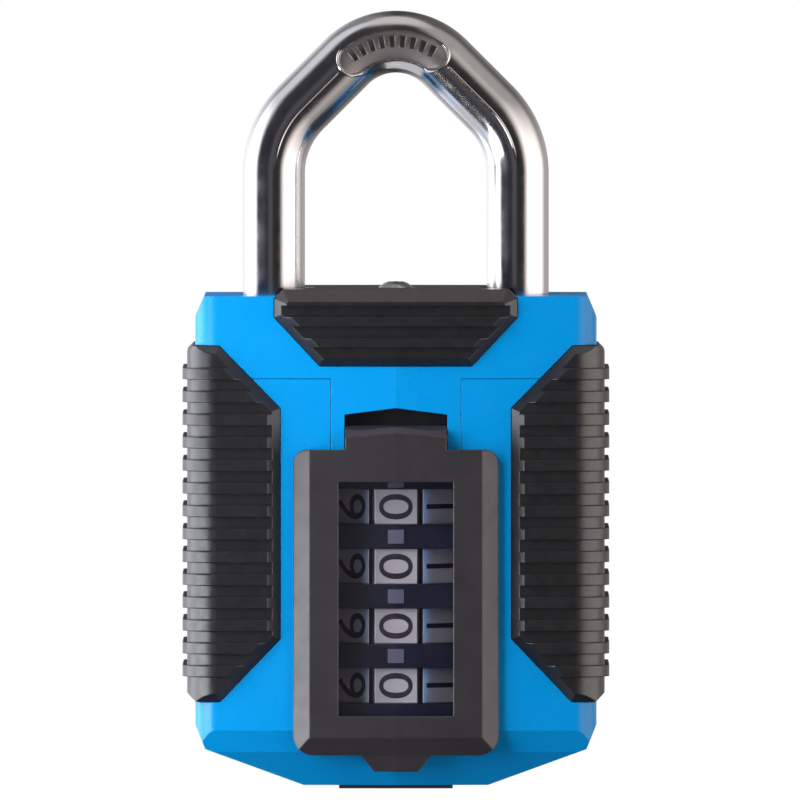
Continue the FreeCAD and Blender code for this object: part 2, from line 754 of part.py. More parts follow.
def cover_frame():
    profile = [
        (COVER_RIDGE_Y, TONGUE_Z[1]),
        (COVER_RIDGE_Y, COVER_BEND_Z),
        (-14.4, COVER_Z[0]),
        (-13.7, 2.0),
        (-12.7, 2.0),
        (-12.3, FACET_CREASE_Z),
        (COVER_BACK_Y, FACET_TOP_Z),
        (COVER_BACK_Y, TONGUE_Z[1]),
    ]
    plate = creased(profile, COVER_HALF_WIDTH + 1, FRONT_SLOPE).common(cover_front_view())
    web = centred_box(TONGUE_HALF_WIDTH, (COVER_BACK_Y - 0.3, HINGE_Y), (43.4, 46.55))
    hinge = web.fuse(axle(KNUCKLE_R, TONGUE_HALF_WIDTH, HINGE_Y, HINGE_Z))
    low, high = WINDOW_Z
    rebate_z = (low - LENS_FLANGE - 0.1, high + LENS_FLANGE + 0.1)
    return plate.fuse(hinge).cut([
        cover_side_bevel(),
        mirror_x(cover_side_bevel()),
        tongue_chamfer(),
        window_plate(WINDOW_HALF_WIDTH, WINDOW_Z, -REACH, -13.0),
        window_plate(WINDOW_HALF_WIDTH + LENS_FLANGE + 0.1, rebate_z, LENS_FLANGE_Y - 0.05, -13.0),
        axle(HINGE_PIN_R + 0.06, REACH, HINGE_Y, HINGE_Z),
    ])


def cover_window():
    """Clear lens, flanged behind the cover."""
    low, high = WINDOW_Z
    lens = window_plate(WINDOW_HALF_WIDTH - 0.05, (low + 0.05, high - 0.05), LENS_RIDGE_Y, LENS_BACK_Y)
    flange_z = (low - LENS_FLANGE, high + LENS_FLANGE)
    return lens.fuse(window_plate(WINDOW_HALF_WIDTH + LENS_FLANGE, flange_z, LENS_FLANGE_Y, LENS_BACK_Y))


def hinge_pin():
    return axle(HINGE_PIN_R, TAB_HALF_WIDTH - 0.2, HINGE_Y, HINGE_Z)


def main():
    os.makedirs("parts", exist_ok=True)
    whole_jacket = jacket()
    save("upper_jacket", upper_jacket(whole_jacket))
    save("lower_jacket", lower_jacket(whole_jacket))
    save("right_bumper", side_bumper())
    save("left_bumper", mirror_x(side_bumper()))
    save("top_bumper", top_bumper())
    save("top_screw", domed_screw())
    save("bottom_screw", bottom_screw())
    save("base_plug", base_plug())
    save("heel_seal", shackle_seal(-LEG_X))
    save("toe_seal", shackle_seal(LEG_X))
    save("shackle_spring", shackle_spring())
    save("reset_spring", reset_spring())
    save("sleeve_washer", sleeve_washer())
    save("lock_body", lock_body())
    save("back_plate", back_plate())
    save("back_plate_rivets", back_plate_rivets())
    save("dial_frame", dial_frame())
    save("index_marks", index_marks())
    save("click_spring", click_spring())
    save("cover_gasket", gasket_ring(0.05, 0))
    save("hinge_pin", hinge_pin())
    save("cover_frame", cover_frame())
    save("cover_window", cover_window())
    save("shackle", shackle())
    save("spindle", spindle())
    save("crosshead", crosshead())
    for number, z in enumerate(DIAL_Z, start=1):
        save("dial_ring_%d" % number, dial_ring(z))
        save("code_sleeve_%d" % number, code_sleeve(z))


main()
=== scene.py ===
import json
import math

import bmesh
import bpy
from mathutils import Matrix, Vector


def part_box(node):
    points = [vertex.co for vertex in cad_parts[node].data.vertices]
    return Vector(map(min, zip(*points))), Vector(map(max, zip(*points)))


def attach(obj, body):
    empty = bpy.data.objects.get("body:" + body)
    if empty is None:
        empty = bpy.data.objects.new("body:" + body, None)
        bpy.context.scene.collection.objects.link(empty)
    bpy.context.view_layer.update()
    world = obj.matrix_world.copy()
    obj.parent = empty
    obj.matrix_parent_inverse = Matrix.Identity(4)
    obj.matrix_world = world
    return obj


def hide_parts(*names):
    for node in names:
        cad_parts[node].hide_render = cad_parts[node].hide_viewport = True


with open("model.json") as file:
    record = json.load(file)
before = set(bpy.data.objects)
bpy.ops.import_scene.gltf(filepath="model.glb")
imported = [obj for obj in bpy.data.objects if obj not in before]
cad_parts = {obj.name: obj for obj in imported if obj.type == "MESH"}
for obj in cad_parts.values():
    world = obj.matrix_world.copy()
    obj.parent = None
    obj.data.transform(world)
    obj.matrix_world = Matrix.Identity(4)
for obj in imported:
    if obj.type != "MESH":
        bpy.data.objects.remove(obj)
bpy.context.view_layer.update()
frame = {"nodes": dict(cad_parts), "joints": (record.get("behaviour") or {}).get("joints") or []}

MM = 0.001
DIAL_COUNT = 4
DIGIT_COUNT = 10


# Shader helpers

BEVEL_SAMPLES = 8
NEAR_EDGE_COSINES = (0.995, 0.88)
CLOUD_DETAIL = 5.0
CLOUD_RANGE = (0.35, 0.68)
WEAR_MM = 0.8
WEAR_DETAIL = 4.0
WEAR_RANGE = (0.4, 0.6)
WEAR_STRENGTH = (0.2, 0.9)
GLOSS_RANGE = (0.3, 0.7)
GLOSS_SWING = (-0.04, 0.05)


def new_material(name, color, roughness, metallic=0.0):
    """A material with a Principled shader, and the node tree to build on."""
    material = bpy.data.materials.new(name)
    material.use_nodes = True
    tree = material.node_tree
    shader = tree.nodes["Principled BSDF"]
    shader.inputs["Base Color"].default_value = (*color, 1.0)
    shader.inputs["Roughness"].default_value = roughness
    shader.inputs["Metallic"].default_value = metallic
    return material, tree, shader


def noise(tree, size_mm, detail=3.0, stretch=(1.0, 1.0, 1.0)):
    """Noise in object coordinates whose features are about size_mm across."""
    place = tree.nodes.new("ShaderNodeTexCoord")
    mapping = tree.nodes.new("ShaderNodeMapping")
    mapping.inputs["Scale"].default_value = [axis / (size_mm * MM) for axis in stretch]
    texture = tree.nodes.new("ShaderNodeTexNoise")
    texture.inputs["Scale"].default_value = 1.0
    texture.inputs["Detail"].default_value = detail
    tree.links.new(place.outputs["Object"], mapping.inputs["Vector"])
    tree.links.new(mapping.outputs["Vector"], texture.inputs["Vector"])
    return texture.outputs["Fac"]


def math_node(tree, operation, *values):
    """Result of a maths node whose inputs are sockets or numbers."""
    node = tree.nodes.new("ShaderNodeMath")
    node.operation = operation
    for socket, value in zip(node.inputs, values):
        if isinstance(value, bpy.types.NodeSocket):
            tree.links.new(value, socket)
        else:
            socket.default_value = value
    return node.outputs["Value"]


def remap(tree, value, low, high, out_low=0.0, out_high=1.0):
    """Value from low..high moved to out_low..out_high, and kept there."""
    node = tree.nodes.new("ShaderNodeMapRange")
    limits = {"From Min": low, "From Max": high, "To Min": out_low, "To Max": out_high}
    for name, number in limits.items():
        node.inputs[name].default_value = number
    tree.links.new(value, node.inputs["Value"])
    return node.outputs["Result"]


def mix_colors(tree, factor, first, second):
    """Colour between first and second; each may be a socket or three numbers."""
    node = tree.nodes.new("ShaderNodeMix")
    node.data_type = "RGBA"
    tree.links.new(factor, node.inputs["Factor"])
    for socket, color in ((node.inputs[6], first), (node.inputs[7], second)):
        if isinstance(color, bpy.types.NodeSocket):
            tree.links.new(color, socket)
        else:
            socket.default_value = (*color, 1.0)
    return node.outputs[2]


def rounded_normal(tree, radius_mm):
    """Normal that rounds sharp edges over radius_mm, and how near an edge the point is."""
    bevel = tree.nodes.new("ShaderNodeBevel")
    bevel.samples = BEVEL_SAMPLES
    bevel.inputs["Radius"].default_value = radius_mm * MM
    geometry = tree.nodes.new("ShaderNodeNewGeometry")
    dot = tree.nodes.new("ShaderNodeVectorMath")
    dot.operation = "DOT_PRODUCT"
    tree.links.new(bevel.outputs["Normal"], dot.inputs[0])
    tree.links.new(geometry.outputs["Normal"], dot.inputs[1])
    return bevel.outputs["Normal"], remap(tree, dot.outputs["Value"], *NEAR_EDGE_COSINES)


def add_bump(tree, shader, height, depth_mm, normal=None):
    """Gives a shader a relief of depth_mm, on top of a normal if there is one."""
    bump = tree.nodes.new("ShaderNodeBump")
    bump.inputs["Distance"].default_value = depth_mm * MM
    tree.links.new(height, bump.inputs["Height"])
    if normal is not None:
        tree.links.new(normal, bump.inputs["Normal"])
    tree.links.new(bump.outputs["Normal"], shader.inputs["Normal"])


def join_shaders(tree, factor, first, second, output):
    """Sends first to an output node where the factor is 0, and second where it is 1."""
    mix = tree.nodes.new("ShaderNodeMixShader")
    tree.links.new(factor, mix.inputs["Fac"])
    tree.links.new(first, mix.inputs[1])
    tree.links.new(second, mix.inputs[2])
    tree.links.new(mix.outputs["Shader"], tree.nodes[output].inputs["Surface"])


def surface(name, color, tint, worn, roughness, metallic=0.0, specular=0.5,
            edge_mm=0.25, cloud_mm=6.0, grain_mm=0.15, grain_depth_mm=0.004):
    """Surface clouded from color to tint, rubbed to the worn colour on its edges, with a fine grain."""
    material, tree, shader = new_material(name, color, roughness, metallic)
    shader.inputs["Specular IOR Level"].default_value = specular
    clouds = remap(tree, noise(tree, cloud_mm, CLOUD_DETAIL), *CLOUD_RANGE)
    shade = mix_colors(tree, clouds, color, tint)
    normal, near_edge = rounded_normal(tree, edge_mm)
    patches = remap(tree, noise(tree, WEAR_MM, WEAR_DETAIL), *WEAR_RANGE, *WEAR_STRENGTH)
    rubbed = math_node(tree, "MULTIPLY", near_edge, patches)
    tree.links.new(mix_colors(tree, rubbed, shade, worn), shader.inputs["Base Color"])
    smoothest, roughest = [roughness + swing for swing in GLOSS_SWING]
    gloss = remap(tree, noise(tree, cloud_mm / 3, CLOUD_DETAIL), *GLOSS_RANGE, smoothest, roughest)
    tree.links.new(gloss, shader.inputs["Roughness"])
    add_bump(tree, shader, noise(tree, grain_mm), grain_depth_mm, normal)
    return material


# Materials

def polished_steel():
    """Polished bar with fine draw marks and a few handling scuffs; sunk metal is left as forged."""
    bright, forged = (0.66, 0.64, 0.64), (0.52, 0.48, 0.47)
    scuff_mm, scuff_range, scuff_roughness = 1.4, (0.35, 0.75), (0.13, 0.21)
    forged_roughness = 0.36
    mark_mm, mark_stretch, mark_depth_mm = 0.5, (1.0, 1.0, 0.25), 0.001
    material, tree, shader = new_material("polished_stainless", bright, roughness=0.1, metallic=1.0)
    sunk = tree.nodes.new("ShaderNodeAttribute")
    sunk.attribute_name = "sunk"
    tree.links.new(mix_colors(tree, sunk.outputs["Fac"], bright, forged), shader.inputs["Base Color"])
    scuffs = remap(tree, noise(tree, scuff_mm, detail=6.0), *scuff_range, *scuff_roughness)
    gloss = math_node(tree, "MULTIPLY_ADD", sunk.outputs["Fac"], forged_roughness, scuffs)
    tree.links.new(gloss, shader.inputs["Roughness"])
    marks = noise(tree, mark_mm, detail=5.0, stretch=mark_stretch)
    add_bump(tree, shader, marks, mark_depth_mm)
    return material


def window_material():
    """Clear smoke-tinted moulding; light passes straight through, so that the dials behind are lit."""
    smoke, thin_smoke, lit_through = (0.88, 0.89, 0.96), (0.92, 0.93, 0.98), (0.95, 0.95, 0.98)
    haze_mm, haze_range, haze_roughness = 1.5, (0.4, 0.8), (0.01, 0.04)
    streak_mm, streak_range = 4.0, (0.3, 0.7)
    material, tree, shader = new_material("clear_window", smoke, roughness=0.03)
    shader.inputs["Transmission Weight"].default_value = 1.0
    shader.inputs["IOR"].default_value = 1.5
    haze = remap(tree, noise(tree, haze_mm, detail=5.0), *haze_range, *haze_roughness)
    tree.links.new(haze, shader.inputs["Roughness"])
    streaks = remap(tree, noise(tree, streak_mm), *streak_range)
    tree.links.new(mix_colors(tree, streaks, smoke, thin_smoke), shader.inputs["Base Color"])
    clear = tree.nodes.new("ShaderNodeBsdfTransparent")
    clear.inputs["Color"].default_value = (*lit_through, 1.0)
    path = tree.nodes.new("ShaderNodeLightPath")
    lighting = math_node(tree, "MAXIMUM", path.outputs["Is Shadow Ray"], path.outputs["Is Diffuse Ray"])
    join_shaders(tree, lighting, shader.outputs["BSDF"], clear.outputs["BSDF"], "Material Output")
    return material


BLUE = surface(
    "blue_plastic", color=(0.0, 0.285, 0.70), tint=(0.0, 0.27, 0.67), worn=(0.0, 0.20, 0.60),
    roughness=0.26, specular=0.38, edge_mm=0.15, cloud_mm=12.0, grain_depth_mm=0.002)
BLACK = surface(
    "black_plastic", color=(0.030, 0.026, 0.031), tint=(0.036, 0.033, 0.038), worn=(0.05, 0.047, 0.052),
    roughness=0.32, specular=0.6, edge_mm=0.3, grain_mm=0.2, grain_depth_mm=0.006)
BEZEL = surface(
    "bezel_plastic", color=(0.003, 0.003, 0.012), tint=(0.004, 0.004, 0.015), worn=(0.012, 0.012, 0.03),
    roughness=0.4, edge_mm=0.15)
GREY = surface(
    "grey_plastic", color=(0.11, 0.105, 0.16), tint=(0.13, 0.125, 0.18), worn=(0.2, 0.2, 0.26),
    roughness=0.4, edge_mm=0.1, cloud_mm=2.0)
RUBBER = surface(
    "black_rubber", color=(0.010, 0.009, 0.011), tint=(0.013, 0.012, 0.014), worn=(0.018, 0.017, 0.019),
    roughness=0.34, specular=0.9, edge_mm=0.22, cloud_mm=3.0, grain_mm=0.3)
STEEL = surface(
    "stainless_steel", color=(0.55, 0.54, 0.53), tint=(0.47, 0.46, 0.46), worn=(0.75, 0.74, 0.73),
    roughness=0.26, metallic=1.0, edge_mm=0.12, cloud_mm=2.0)
SPRING_STEEL = surface(
    "spring_steel", color=(0.36, 0.36, 0.38), tint=(0.28, 0.28, 0.3), worn=(0.5, 0.5, 0.5),
    roughness=0.3, metallic=1.0, edge_mm=0.05, cloud_mm=2.0)
ZINC = surface(
    "zinc_alloy", color=(0.022, 0.021, 0.026), tint=(0.034, 0.033, 0.038), worn=(0.3, 0.3, 0.31),
    roughness=0.45, metallic=0.3, edge_mm=0.2, grain_mm=0.35, grain_depth_mm=0.02)
BRASS = surface(
    "brass", color=(0.62, 0.45, 0.2), tint=(0.5, 0.35, 0.15), worn=(0.8, 0.62, 0.32),
    roughness=0.3, metallic=1.0, edge_mm=0.1, cloud_mm=2.0)
PAD = surface(
    "dial_pad_metal", color=(0.90, 0.83, 0.83), tint=(0.86, 0.79, 0.80), worn=(0.92, 0.86, 0.84),
    roughness=0.22, metallic=0.5, edge_mm=0.16, cloud_mm=3.0, grain_depth_mm=0.001)
GROOVE = surface(
    "dial_groove", color=(0.012, 0.011, 0.02), tint=(0.018, 0.016, 0.026), worn=(0.06, 0.06, 0.07),
    roughness=0.45, edge_mm=0.1, cloud_mm=2.0)
INK = surface(
    "numeral_ink", color=(0.010, 0.009, 0.014), tint=(0.02, 0.018, 0.026), worn=(0.03, 0.03, 0.04),
    roughness=0.5, edge_mm=0.03, cloud_mm=0.6, grain_depth_mm=0.002)
SHACKLE_STEEL = polished_steel()
WINDOW = window_material()


# Pieces

def link_piece(name, mesh, body, materials, replaces=()):
    """Adds a mesh to the scene as a piece that rides on a body."""
    piece = bpy.data.objects.new(name, mesh)
    bpy.context.scene.collection.objects.link(piece)
    mesh.materials.clear()
    for material in materials:
        mesh.materials.append(material)
    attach(piece, body)
    if replaces:
        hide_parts(*replaces)


def paint(material, *nodes):
    """Gives CAD nodes a material."""
    for node in nodes:
        data = frame["nodes"][node].data
        data.materials.clear()
        data.materials.append(material)


# Shackle

SHACKLE_LOW, SHACKLE_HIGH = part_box("shackle")
BAR_R = (SHACKLE_HIGH.y - SHACKLE_LOW.y) / 2
LEG_X = SHACKLE_HIGH.x - BAR_R
BEND_R = 12.0 * MM
BOW_R = 9.0 * MM
BOW_Z = SHACKLE_HIGH.z - BAR_R - BOW_R
BEND_X = LEG_X - BEND_R
BEND_Z = BOW_Z - math.sqrt(2) * (BEND_R - BOW_R) - BEND_X
TOE_Z = min(vertex.co.z for vertex in frame["nodes"]["shackle"].data.vertices if vertex.co.x > 0)
TIP_CHAMFER = 0.6 * MM
NECK_PLAY = 0.05 * MM
FORK_LOW, FORK_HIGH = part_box("crosshead")
NECK_Z = (FORK_LOW.z - NECK_PLAY, FORK_HIGH.z + NECK_PLAY)
NECK_R = 2.6 * MM

# The bar's bends and straight shoulders; BOW_END and BEND_END are measured along it from the bow's top
SHOULDER_ANGLE = math.pi / 4
BOW_END = SHOULDER_ANGLE * BOW_R
SHOULDER = math.sqrt(2) * (BEND_X + (BEND_R - BOW_R) / math.sqrt(2))
BEND_END = BOW_END + SHOULDER + SHOULDER_ANGLE * BEND_R

# Sunk panel and its bars
PANEL_HALF_LENGTH = math.radians(36) * BOW_R
PANEL_HALF_WIDTH = 2.1 * MM
PANEL_DEPTH = 0.38 * MM
PANEL_WALL = 0.14 * MM
PANEL_SHIFT = -0.5 * MM
PANEL_OFFSET = -0.37 * MM
RIM_REACH = 0.4 * MM
RIM_HEIGHT = 0.09 * MM
RIM_WIDTH = 0.11 * MM
RIM_INSET = 0.10 * MM
RIM_START = 1.0 * MM
PANEL_BARS = 9
BAR_PITCH = 1.33 * MM
BAR_HALF_WIDTH = 0.42 * MM
BAR_HALF_LENGTH = 0.9 * MM
BAR_OFFSET = 0.1 * MM
BAR_FLANK = 0.12 * MM
BAR_END_FLANK = 0.14 * MM
BAR_RISE = 0.85

# Parting line
PARTING_HEIGHT = 0.08 * MM
PARTING_WIDTH = 0.12 * MM
PARTING_OFFSET = -0.1 * MM
PARTING_GAP = 0.1 * MM
PARTING_START = 0.6 * MM
PARTING_END = 5.0 * MM

# Fineness of the mesh
LEG_STATIONS = 4
LEG_SPACING = 4.0 * MM
COARSE_STATIONS = 40
FINE_STATIONS = 360
FINE_MARGIN = 0.8 * MM
FRONT_DEGREES = 42
FRONT_POINTS = 96
BACK_POINTS = 48
RELIEF_COSINE = 0.5
SHARP_ANGLE = math.radians(40)


def smooth_step(value):
    """Soft step from 0 to 1 as the value goes from 0 to 1."""
    value = min(1.0, max(0.0, value))
    return value * value * (3 - 2 * value)


def ridge(distance, width):
    """Bell-shaped height of a fine raised line."""
    return math.exp(-((distance / width) ** 2))


def evenly(start, end, count):
    """count + 1 numbers from start to end, evenly spaced."""
    return [start + (end - start) * index / count for index in range(count + 1)]


def parting_line(along, across, past_panel):
    """Height of the parting line, from just past the panel to the ends of the bends."""
    start = smooth_step((past_panel - PARTING_GAP) / PARTING_START)
    finish = smooth_step((BEND_END - abs(along)) / PARTING_END)
    return PARTING_HEIGHT * start * finish * ridge(across - PARTING_OFFSET, PARTING_WIDTH)


def bar_share(beside, across):
    """How far a point of the panel lies on a bar, from 0 to 1."""
    nearest = round(beside / BAR_PITCH)
    if abs(nearest) > PANEL_BARS // 2:
        return 0.0
    raised = smooth_step((BAR_HALF_WIDTH - abs(beside - nearest * BAR_PITCH)) / BAR_FLANK)
    return raised * smooth_step((BAR_HALF_LENGTH - abs(across - BAR_OFFSET)) / BAR_END_FLANK)


def bow_relief(along, across):
    """(height, how sunk) of the bar's front, at a distance along it from the bow's top and across it."""
    beside = along - PANEL_SHIFT
    past_end = abs(beside) - PANEL_HALF_LENGTH
    inwards = PANEL_HALF_WIDTH - math.hypot(max(0.0, past_end), across - PANEL_OFFSET)
    if inwards < -RIM_REACH:
        return parting_line(along, across, past_end - PANEL_HALF_WIDTH), 0.0
    rim = RIM_HEIGHT * ridge(inwards, RIM_WIDTH) * smooth_step(past_end / RIM_START)
    inside = smooth_step((inwards - RIM_INSET) / PANEL_WALL)
    raised = bar_share(beside, across)
    return rim - PANEL_DEPTH * inside * (1 - BAR_RISE * raised), inside * (1 - raised)


def centre_line(along):
    """(x, z, outward x, outward z) of the bar at a distance from the bow's top, towards +X."""
    side = 1 if along >= 0 else -1
    distance = abs(along)
    if distance <= BOW_END:
        angle = distance / BOW_R
        x, z = math.sin(angle), math.cos(angle)
        return side * x * BOW_R, BOW_Z + z * BOW_R, side * x, z
    if distance <= BOW_END + SHOULDER:
        slide = distance - BOW_END
        slant = math.sqrt(0.5)
        return side * slant * (BOW_R + slide), BOW_Z + slant * (BOW_R - slide), side * slant, slant
    if distance <= BEND_END:
        angle = SHOULDER_ANGLE + (distance - BOW_END - SHOULDER) / BEND_R
        x, z = math.sin(angle), math.cos(angle)
        return side * (BEND_X + x * BEND_R), BEND_Z + z * BEND_R, side * x, z
    return side * LEG_X, BEND_Z - (distance - BEND_END), side, 0.0


def full_bar_stations():
    """Distances along the bar above its neck, close together on the bow's panel."""
    panel_end = PANEL_HALF_LENGTH + PANEL_HALF_WIDTH + FINE_MARGIN
    leg = [BEND_END + step * LEG_SPACING for step in range(1, LEG_STATIONS + 1)]
    heel_side = [-place for place in reversed(leg)] + evenly(-BEND_END, -panel_end, COARSE_STATIONS)[:-1]
    panel = evenly(-panel_end, panel_end, FINE_STATIONS)
    return heel_side + panel + evenly(panel_end, BEND_END, COARSE_STATIONS)[1:] + leg


def shackle_stations():
    """(distance along the bar, radius) from the heel's tip to the toe's."""
    heel = -(BEND_END + BEND_Z - SHACKLE_LOW.z)
    toe = BEND_END + BEND_Z - TOE_Z
    low_neck, high_neck = [-(BEND_END + BEND_Z - z) for z in NECK_Z]
    heel_tip = [(heel, BAR_R - TIP_CHAMFER), (heel + TIP_CHAMFER, BAR_R), (low_neck, BAR_R)]
    neck = [(low_neck, NECK_R), (high_neck, NECK_R), (high_neck, BAR_R)]
    toe_tip = [(toe - TIP_CHAMFER, BAR_R), (toe, BAR_R - TIP_CHAMFER)]
    return heel_tip + neck + [(place, BAR_R) for place in full_bar_stations()] + toe_tip


def ring_angles():
    """Angles round the bar from its front, close together where the front carries its relief."""
    front = evenly(-FRONT_DEGREES, FRONT_DEGREES, FRONT_POINTS)
    back = evenly(FRONT_DEGREES, 360 - FRONT_DEGREES, BACK_POINTS)[1:-1]
    return [math.radians(degrees) for degrees in front + back]


def shackle_surface(angles):
    """Points of the bar, ring by ring, and how sunk each of them is."""
    points, sunk = [], []
    for along, radius in shackle_stations():
        x, z, out_x, out_z = centre_line(along)
        for angle in angles:
            lift, depth = 0.0, 0.0
            if abs(along) < BEND_END and math.cos(angle) > RELIEF_COSINE:
                lift, depth = bow_relief(along, radius * math.sin(angle))
            reach = radius + lift
            across = reach * math.sin(angle)
            points.append((x + out_x * across, -reach * math.cos(angle), z + out_z * across))
            sunk.append(depth)
    return points, sunk


def tube_faces(rings, count):
    """Quads between neighbouring rings of count points, and a cap on each end."""
    faces = []
    for ring in range(rings - 1):
        for column in range(count):
            following = (column + 1) % count
            low, high = ring * count, (ring + 1) * count
            faces.append((low + column, high + column, high + following, low + following))
    faces.append(tuple(range(count)))
    faces.append(tuple(reversed(range((rings - 1) * count, rings * count))))
    return faces


def shackle_mesh():
    """Tube along the bar's centre line, with the bow's sunk panel and a fine parting line on its front."""
    angles = ring_angles()
    points, sunk = shackle_surface(angles)
    mesh = bpy.data.meshes.new("shackle_bar")
    mesh.from_pydata(points, [], tube_faces(len(points) // len(angles), len(angles)))
    mesh.attributes.new("sunk", "FLOAT", "POINT").data.foreach_set("value", sunk)
    shape = bmesh.new()
    shape.from_mesh(mesh)
    bmesh.ops.recalc_face_normals(shape, faces=shape.faces)
    shape.to_mesh(mesh)
    shape.free()
    mesh.polygons.foreach_set("use_smooth", [True] * len(mesh.polygons))
    mesh.set_sharp_from_angle(angle=SHARP_ANGLE)
    return mesh


# Dials

AXIS = next(Vector(joint["pos_m"]) for joint in frame["joints"] if joint["name"] == "dial_1_turn")
PAD_INNER = 9.3 * MM
PAD_FACING = 0.9
UPRIGHT_NORMAL_Z = 0.5
DIGIT_HEIGHT = 4.3 * MM
DIGIT_WIDTH = 3.3 * MM
DIGIT_SMOOTHNESS = 6
UNIT_THICK_EXTRUDE = 0.5
INK_THICKNESS = 0.04 * MM


def is_pad_face(face):
    """Whether a dial's face is the flat outer face of a pad."""
    centre = face.center - AXIS
    radius = math.hypot(centre.x, centre.y)
    outwards = centre.x * face.normal.x + centre.y * face.normal.y
    return radius > PAD_INNER and abs(face.normal.z) < UPRIGHT_NORMAL_Z and outwards > PAD_FACING * radius


def add_dial(number):
    """Dial with bright pads on a dark wheel."""
    node = "dial_ring_%d" % number
    mesh = frame["nodes"][node].data.copy()
    link_piece(node + "_pads", mesh, "dial_%d" % number, [PAD, GROOVE], [node])
    for face in mesh.polygons:
        face.material_index = 0 if is_pad_face(face) else 1


def digit_mesh(digit):
    """One numeral as a thin raised mesh, centred, its top towards +Y."""
    curve = bpy.data.curves.new("digit_%d" % digit, "FONT")
    curve.body = str(digit)
    curve.extrude = UNIT_THICK_EXTRUDE
    curve.resolution_u = DIGIT_SMOOTHNESS
    holder = bpy.data.objects.new("digit_%d" % digit, curve)
    bpy.context.scene.collection.objects.link(holder)
    bpy.context.view_layer.update()
    mesh = bpy.data.meshes.new_from_object(holder.evaluated_get(bpy.context.evaluated_depsgraph_get()))
    bpy.data.objects.remove(holder)
    low = [min(vertex.co[axis] for vertex in mesh.vertices) for axis in range(2)]
    high = [max(vertex.co[axis] for vertex in mesh.vertices) for axis in range(2)]
    tall = DIGIT_HEIGHT / (high[1] - low[1])
    wide = tall if digit == 1 else DIGIT_WIDTH / (high[0] - low[0])
    mesh.transform(Matrix.Translation((-(low[0] + high[0]) / 2, -(low[1] + high[1]) / 2, 0)))
    mesh.transform(Matrix.Diagonal((wide, tall, INK_THICKNESS, 1.0)))
    return mesh


def add_numerals(number):
    """Ten numerals round a dial, their tops towards the next one, joined as one piece."""
    low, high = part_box("dial_ring_%d" % number)
    pad_face = AXIS.y - low.y
    on_front = Matrix(((0, 1, 0, 0), (0, 0, -1, 0), (-1, 0, 0, 0), (0, 0, 0, 1)))
    centre = Matrix.Translation((AXIS.x, AXIS.y, (low.z + high.z) / 2))
    joined = bmesh.new()
    for digit in range(DIGIT_COUNT):
        mesh = digit_mesh(digit)
        turn = Matrix.Rotation(2 * math.pi * digit / DIGIT_COUNT, 4, "Z")
        mesh.transform(centre @ turn @ Matrix.Translation((0, -pad_face, 0)) @ on_front)
        joined.from_mesh(mesh)
        bpy.data.meshes.remove(mesh)
    result = bpy.data.meshes.new("numerals_%d" % number)
    joined.to_mesh(result)
    joined.free()
    link_piece("numerals_%d" % number, result, "dial_%d" % number, [INK])


# Build

link_piece("shackle_bar", shackle_mesh(), "shackle", [SHACKLE_STEEL], ["shackle"])
for dial in range(1, DIAL_COUNT + 1):
    add_dial(dial)
    add_numerals(dial)
    paint(BRASS, "code_sleeve_%d" % dial)
paint(BLUE, "upper_jacket", "lower_jacket")
paint(RUBBER, "left_bumper", "right_bumper", "top_bumper", "heel_seal", "toe_seal", "cover_gasket")
paint(BLACK, "cover_frame", "base_plug")
paint(WINDOW, "cover_window")
paint(BEZEL, "dial_frame")
paint(GREY, "index_marks")
paint(ZINC, "lock_body", "back_plate")
paint(SPRING_STEEL, "shackle_spring", "reset_spring", "click_spring")
paint(STEEL, "top_screw", "bottom_screw", "sleeve_washer", "back_plate_rivets", "hinge_pin")
paint(STEEL, "spindle", "crosshead")


# Studio

FLOOR_HALF = 0.6

CAMERA_DISTANCE = 4.0
CAMERA_PITCH = math.radians(1.5)
CAMERA_SENSOR = 36.0
CAMERA_CLIP = (0.05, 50.0)
FRAME_WIDTH = 103.5 * MM
AIM = Vector((0.53 * MM, 0.0, 50.0 * MM))

LIGHT_COLOR = (0.95, 0.97, 1.0)
KEY_PLACE = Vector((-0.15, -0.16, 0.15))
KEY_SIZE = (0.12, 0.26)
KEY_POWER = 0.76
STRIP_PLACE = Vector((-0.17, -0.115, 0.0))
STRIP_FACING = Vector((0.83, 0.56, 0.0))
STRIP_SIZE = (0.12, 0.07)
STRIP_POWER = 0.18
FILL_PLACE = Vector((-0.001, 0.001, 0.071))
FILL_FACING = Vector((1.0, 0.0, 1.0))
FILL_SIZE = (0.018, 0.017)
FILL_POWER = 0.0007

WORLD_STRENGTH = 5.0
PANEL_SLOPES = (0.12, 0.6)
PANEL_FADE = 0.8
OVERHEAD_SLOPES = (0.90, 0.97)
BELOW_SLOPES = (-0.6, -0.85)
UNLIT, OVERHEAD, BELOW = (0.01, 0.01, 0.01), (0.16, 0.15, 0.15), (0.01, 0.01, 0.011)


def seen_by_camera(tree, lit, seen, output):
    """Joins two shaders so that only camera rays meet the second."""
    path = tree.nodes.new("ShaderNodeLightPath")
    join_shaders(tree, path.outputs["Is Camera Ray"], lit, seen, output)


def studio_floor():
    """Plain pale floor; the lock is lit through it, so that it throws no colour on the steel."""
    mesh = bpy.data.meshes.new("floor")
    half = FLOOR_HALF
    corners = [(-half, -half, 0), (half, -half, 0), (half, half, 0), (-half, half, 0)]
    mesh.from_pydata(corners, [], [(0, 1, 2, 3)])
    floor = bpy.data.objects.new("floor", mesh)
    bpy.context.scene.collection.objects.link(floor)
    material = bpy.data.materials.new("pale_floor")
    material.use_nodes = True
    tree = material.node_tree
    tree.nodes.remove(tree.nodes["Principled BSDF"])
    clear = tree.nodes.new("ShaderNodeBsdfTransparent")
    white = tree.nodes.new("ShaderNodeEmission")
    seen_by_camera(tree, clear.outputs["BSDF"], white.outputs["Emission"], "Material Output")
    mesh.materials.append(material)


